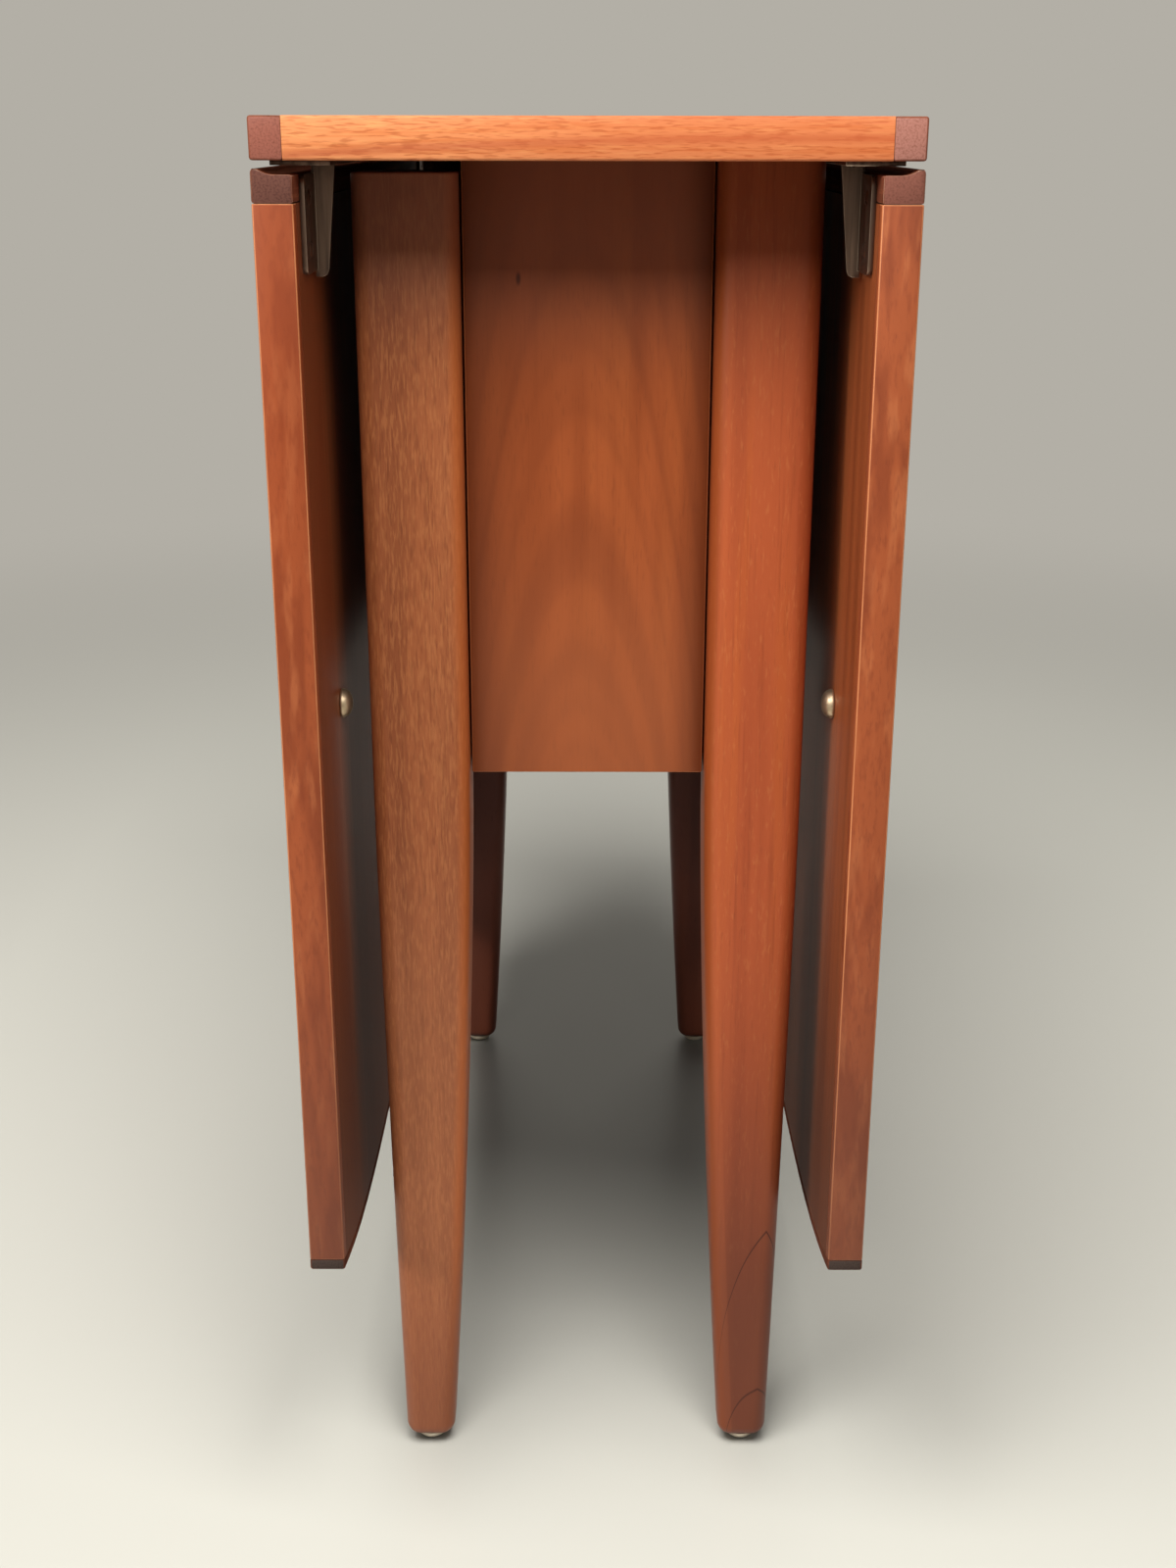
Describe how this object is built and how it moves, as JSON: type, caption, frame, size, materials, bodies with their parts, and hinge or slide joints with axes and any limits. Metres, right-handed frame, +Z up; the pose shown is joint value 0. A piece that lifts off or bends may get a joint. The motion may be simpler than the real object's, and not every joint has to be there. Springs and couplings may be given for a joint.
{
  "type": "drop-leaf dining table",
  "caption": "Narrow wooden table on a panelled pedestal with tapered legs, hanging leaves on concealed hinges that rise level with the top, and gate legs that swing out to carry them.",
  "frame": {"origin": "on the floor under the middle of the top", "axes": "+Z up, +Y along the length of the top from the pictured end to the far end, +X to the right in the picture"},
  "size_m": [0.286, 0.686, 0.735],
  "materials": {
    "veneer": "satin",
    "top_end_lipping": "satin",
    "long_lipping": "satin",
    "leaf_end_lipping": "satin",
    "panel": "satin",
    "leg": "satin",
    "beech": "matte",
    "bronzed_steel": "satin",
    "satin_brass": "satin"
  },
  "bodies": {
    "table": {"top_core": "veneer", "top_end_lipping_near": "top_end_lipping", "top_end_lipping_far": "top_end_lipping", "top_side_lipping_left": "long_lipping", "top_side_lipping_right": "long_lipping", "hinge_plate_near_left": "bronzed_steel", "hinge_plate_far_left": "bronzed_steel", "hinge_plate_near_right": "bronzed_steel", "hinge_plate_far_right": "bronzed_steel", "hinge_pin_near_left": "bronzed_steel", "hinge_pin_far_left": "bronzed_steel", "hinge_pin_near_right": "bronzed_steel", "hinge_pin_far_right": "bronzed_steel", "end_panel_near": "panel", "end_panel_far": "panel", "side_panel_left": "panel", "side_panel_right": "panel", "top_cleat_left": "beech", "top_cleat_right": "beech", "leg_fixed_near_right": "leg", "leg_fixed_far_left": "leg", "leg_packing_near_right": "beech", "leg_packing_far_left": "beech", "gate_upper_bearer_near_left": "beech", "gate_upper_bearer_far_right": "beech", "gate_lower_bearer_near_left": "beech", "gate_lower_bearer_far_right": "beech", "foot_glide_near_right": "satin_brass", "foot_glide_far_left": "satin_brass"},
    "leaf_left": {"leaf_core_left": "veneer", "leaf_hinge_lipping_left": "long_lipping", "leaf_outer_lipping_left": "long_lipping", "leaf_end_lipping_near_left": "leaf_end_lipping", "leaf_end_lipping_far_left": "leaf_end_lipping", "leaf_bracket_near_left": "bronzed_steel", "leaf_bracket_far_left": "bronzed_steel", "bumper_stud_near_left": "satin_brass", "bumper_stud_far_left": "satin_brass"},
    "leaf_right": {"leaf_core_right": "veneer", "leaf_hinge_lipping_right": "long_lipping", "leaf_outer_lipping_right": "long_lipping", "leaf_end_lipping_near_right": "leaf_end_lipping", "leaf_end_lipping_far_right": "leaf_end_lipping", "leaf_bracket_near_right": "bronzed_steel", "leaf_bracket_far_right": "bronzed_steel", "bumper_stud_near_right": "satin_brass", "bumper_stud_far_right": "satin_brass"},
    "gate_near_left": {"leg_gate_near_left": "leg", "gate_stile_near_left": "beech", "gate_upper_rail_near_left": "beech", "gate_lower_rail_near_left": "beech", "foot_glide_near_left": "satin_brass"},
    "gate_far_right": {"leg_gate_far_right": "leg", "gate_stile_far_right": "beech", "gate_upper_rail_far_right": "beech", "gate_lower_rail_far_right": "beech", "foot_glide_far_right": "satin_brass"}
  },
  "joints": [
    {"name": "leaf_left_hinge", "type": "hinge", "parent": "table", "child": "leaf_left", "pos_m": [-0.1325, 0, 0.7245], "axis": [0, 1, 0], "range_deg": [0, 90]},
    {"name": "leaf_right_hinge", "type": "hinge", "parent": "table", "child": "leaf_right", "pos_m": [0.1325, 0, 0.7245], "axis": [0, -1, 0], "range_deg": [0, 90]},
    {"name": "gate_near_left_pivot", "type": "hinge", "parent": "table", "child": "gate_near_left", "pos_m": [-0.086, 0.157, 0], "axis": [0, 0, -1], "range_deg": [0, 1.1]},
    {"name": "gate_far_right_pivot", "type": "hinge", "parent": "table", "child": "gate_far_right", "pos_m": [0.086, -0.157, 0], "axis": [0, 0, -1], "range_deg": [0, 1.1]}
  ]
}
